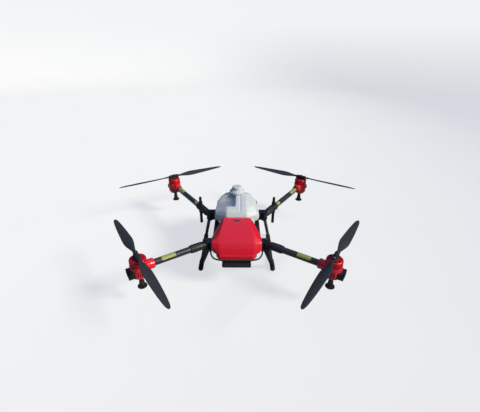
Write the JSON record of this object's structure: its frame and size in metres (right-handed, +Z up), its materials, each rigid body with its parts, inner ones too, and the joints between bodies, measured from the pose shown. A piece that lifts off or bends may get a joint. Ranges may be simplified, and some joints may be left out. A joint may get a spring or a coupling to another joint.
{
  "type": "agricultural spray drone",
  "caption": "Quad-rotor crop-spraying drone with folding arms, lift-out liquid tank, spinning-disc nozzles and skid landing gear.",
  "frame": {"origin": "centre of the whole footprint on the ground, between the skids; the rotor centre lies 72 mm behind it", "axes": "+Z up; the nose points to -Y; +X is the right-hand side of the reference view, which is the aircraft's own left"},
  "size_m": [1.888, 1.7206, 0.492],
  "materials": {
    "carbon_tube": "woven carbon fibre, satin clear coat",
    "black_casting": "black anodised and powder-coated aluminium",
    "frame_alloy": "dark anodised aluminium extrusion",
    "red_plastic": "moulded red shell, smooth gloss",
    "red_alloy": "red anodised aluminium",
    "black_plastic": "fine-textured moulded nylon",
    "tank_plastic": "translucent rotomoulded polyethylene",
    "cap_plastic": "ribbed moulded polypropylene",
    "battery_case": "fine-textured black casing",
    "blade_composite": "carbon-nylon composite",
    "nozzle_plastic": "dark brown-black acetal",
    "copper_winding": "enamelled copper and steel laminations",
    "pump_alloy": "cast and machined",
    "hose_rubber": "blue-grey rubber hose",
    "foot_rubber": "moulded olive-black rubber",
    "bolt_steel": "zinc-plated steel",
    "circuit_case": "anodised casing"
  },
  "bodies": {
    "root": {"frame_rails": "frame_alloy", "frame_cross_tubes": "carbon_tube", "belly_pan": "black_plastic", "nose_cowl": "red_plastic", "front_radar": "black_plastic", "front_hoop": "black_casting", "flight_controller": "circuit_case", "pump_body": "pump_alloy", "liquid_hoses": "hose_rubber", "front_legs": "black_casting", "skid_tubes": "carbon_tube", "skid_caps": "foot_rubber", "hinge_bolts": "bolt_steel"},
    "tank_body": {"tank": "tank_plastic", "filler_neck": "tank_plastic"},
    "cap_body": {"tank_cap": "cap_plastic"},
    "battery_body": {"battery": "battery_case"},
    "handle_body": {"battery_handle": "black_plastic"},
    "arm_fl": {"arm_root_fl": "black_casting", "arm_tube_fl": "carbon_tube", "pod_shell_fl": "red_plastic", "pod_base_fl": "black_casting", "motor_stator_fl": "copper_winding", "nozzle_fl": "nozzle_plastic"},
    "rotor_body_fl": {"rotor_fl": "red_alloy"},
    "blade_a_body_fl": {"blade_a_fl": "blade_composite"},
    "blade_b_body_fl": {"blade_b_fl": "blade_composite"},
    "disc_body_fl": {"spray_disc_fl": "black_plastic"},
    "arm_fr": {"arm_root_fr": "black_casting", "arm_tube_fr": "carbon_tube", "pod_shell_fr": "red_plastic", "pod_base_fr": "black_casting", "motor_stator_fr": "copper_winding", "nozzle_fr": "nozzle_plastic"},
    "rotor_body_fr": {"rotor_fr": "red_alloy"},
    "blade_a_body_fr": {"blade_a_fr": "blade_composite"},
    "blade_b_body_fr": {"blade_b_fr": "blade_composite"},
    "disc_body_fr": {"spray_disc_fr": "black_plastic"},
    "arm_rl": {"arm_root_rl": "black_casting", "arm_tube_rl": "carbon_tube", "pod_shell_rl": "red_plastic", "pod_base_rl": "black_casting", "motor_stator_rl": "copper_winding", "nozzle_rl": "nozzle_plastic", "antenna_left": "black_plastic"},
    "rotor_body_rl": {"rotor_rl": "red_alloy"},
    "blade_a_body_rl": {"blade_a_rl": "blade_composite"},
    "blade_b_body_rl": {"blade_b_rl": "blade_composite"},
    "disc_body_rl": {"spray_disc_rl": "black_plastic"},
    "arm_rr": {"arm_root_rr": "black_casting", "arm_tube_rr": "carbon_tube", "pod_shell_rr": "red_plastic", "pod_base_rr": "black_casting", "motor_stator_rr": "copper_winding", "nozzle_rr": "nozzle_plastic", "antenna_right": "black_plastic"},
    "rotor_body_rr": {"rotor_rr": "red_alloy"},
    "blade_a_body_rr": {"blade_a_rr": "blade_composite"},
    "blade_b_body_rr": {"blade_b_rr": "blade_composite"},
    "disc_body_rr": {"spray_disc_rr": "black_plastic"}
  },
  "joints": [
    {"name": "arm_fold_fl", "type": "hinge", "parent": "root", "child": "arm_fl", "pos_m": [-0.19, -0.24925, 0.285], "axis": [0, 0, -1], "range_deg": [0, 60]},
    {"name": "arm_fold_fr", "type": "hinge", "parent": "root", "child": "arm_fr", "pos_m": [0.19, -0.24925, 0.285], "axis": [0, 0, 1], "range_deg": [0, 60]},
    {"name": "arm_fold_rl", "type": "hinge", "parent": "root", "child": "arm_rl", "pos_m": [-0.2, 0.11675, 0.285], "axis": [0, 0, -1], "range_deg": [0, 34]},
    {"name": "arm_fold_rr", "type": "hinge", "parent": "root", "child": "arm_rr", "pos_m": [0.2, 0.11675, 0.285], "axis": [0, 0, 1], "range_deg": [0, 34]},
    {"name": "rotor_spin_fl", "type": "hinge", "parent": "arm_fl", "child": "rotor_body_fl", "pos_m": [-0.55, -0.47825, 0.37], "axis": [0, 0, 1], "continuous": true},
    {"name": "blade_fold_a_fl", "type": "hinge", "parent": "rotor_body_fl", "child": "blade_a_body_fl", "pos_m": [-0.56678, -0.45338, 0.37], "axis": [0, 0, 1], "range_deg": [0, 80]},
    {"name": "blade_fold_b_fl", "type": "hinge", "parent": "rotor_body_fl", "child": "blade_b_body_fl", "pos_m": [-0.53322, -0.50312, 0.37], "axis": [0, 0, -1], "range_deg": [0, 80]},
    {"name": "disc_spin_fl", "type": "hinge", "parent": "arm_fl", "child": "disc_body_fl", "pos_m": [-0.55, -0.47825, 0.16], "axis": [0, 0, 1], "continuous": true},
    {"name": "rotor_spin_fr", "type": "hinge", "parent": "arm_fr", "child": "rotor_body_fr", "pos_m": [0.55, -0.47825, 0.37], "axis": [0, 0, 1], "continuous": true},
    {"name": "blade_fold_a_fr", "type": "hinge", "parent": "rotor_body_fr", "child": "blade_a_body_fr", "pos_m": [0.56678, -0.45338, 0.37], "axis": [0, 0, -1], "range_deg": [0, 80]},
    {"name": "blade_fold_b_fr", "type": "hinge", "parent": "rotor_body_fr", "child": "blade_b_body_fr", "pos_m": [0.53322, -0.50312, 0.37], "axis": [0, 0, 1], "range_deg": [0, 80]},
    {"name": "disc_spin_fr", "type": "hinge", "parent": "arm_fr", "child": "disc_body_fr", "pos_m": [0.55, -0.47825, 0.16], "axis": [0, 0, 1], "continuous": true},
    {"name": "rotor_spin_rl", "type": "hinge", "parent": "arm_rl", "child": "rotor_body_rl", "pos_m": [-0.55, 0.62175, 0.37], "axis": [0, 0, 1], "continuous": true},
    {"name": "blade_fold_a_rl", "type": "hinge", "parent": "rotor_body_rl", "child": "blade_a_body_rl", "pos_m": [-0.52429, 0.6372, 0.37], "axis": [0, 0, 1], "range_deg": [0, 80]},
    {"name": "blade_fold_b_rl", "type": "hinge", "parent": "rotor_body_rl", "child": "blade_b_body_rl", "pos_m": [-0.57571, 0.6063, 0.37], "axis": [0, 0, -1], "range_deg": [0, 80]},
    {"name": "disc_spin_rl", "type": "hinge", "parent": "arm_rl", "child": "disc_body_rl", "pos_m": [-0.55, 0.62175, 0.16], "axis": [0, 0, 1], "continuous": true},
    {"name": "rotor_spin_rr", "type": "hinge", "parent": "arm_rr", "child": "rotor_body_rr", "pos_m": [0.55, 0.62175, 0.37], "axis": [0, 0, 1], "continuous": true},
    {"name": "blade_fold_a_rr", "type": "hinge", "parent": "rotor_body_rr", "child": "blade_a_body_rr", "pos_m": [0.52429, 0.6372, 0.37], "axis": [0, 0, -1], "range_deg": [0, 80]},
    {"name": "blade_fold_b_rr", "type": "hinge", "parent": "rotor_body_rr", "child": "blade_b_body_rr", "pos_m": [0.57571, 0.6063, 0.37], "axis": [0, 0, 1], "range_deg": [0, 80]},
    {"name": "disc_spin_rr", "type": "hinge", "parent": "arm_rr", "child": "disc_body_rr", "pos_m": [0.55, 0.62175, 0.16], "axis": [0, 0, 1], "continuous": true},
    {"name": "tank_lift", "type": "slide", "parent": "root", "child": "tank_body", "axis": [0, 0, 1], "range_m": [0, 0.3]},
    {"name": "cap_lift", "type": "slide", "parent": "tank_body", "child": "cap_body", "axis": [0, 0, 1], "range_m": [0, 0.12]},
    {"name": "battery_slide", "type": "slide", "parent": "root", "child": "battery_body", "axis": [0, 1, 0], "range_m": [0, 0.17]},
    {"name": "handle_swing", "type": "hinge", "parent": "battery_body", "child": "handle_body", "pos_m": [0, 0.38575, 0.298], "axis": [1, 0, 0], "range_deg": [0, 95]}
  ]
}
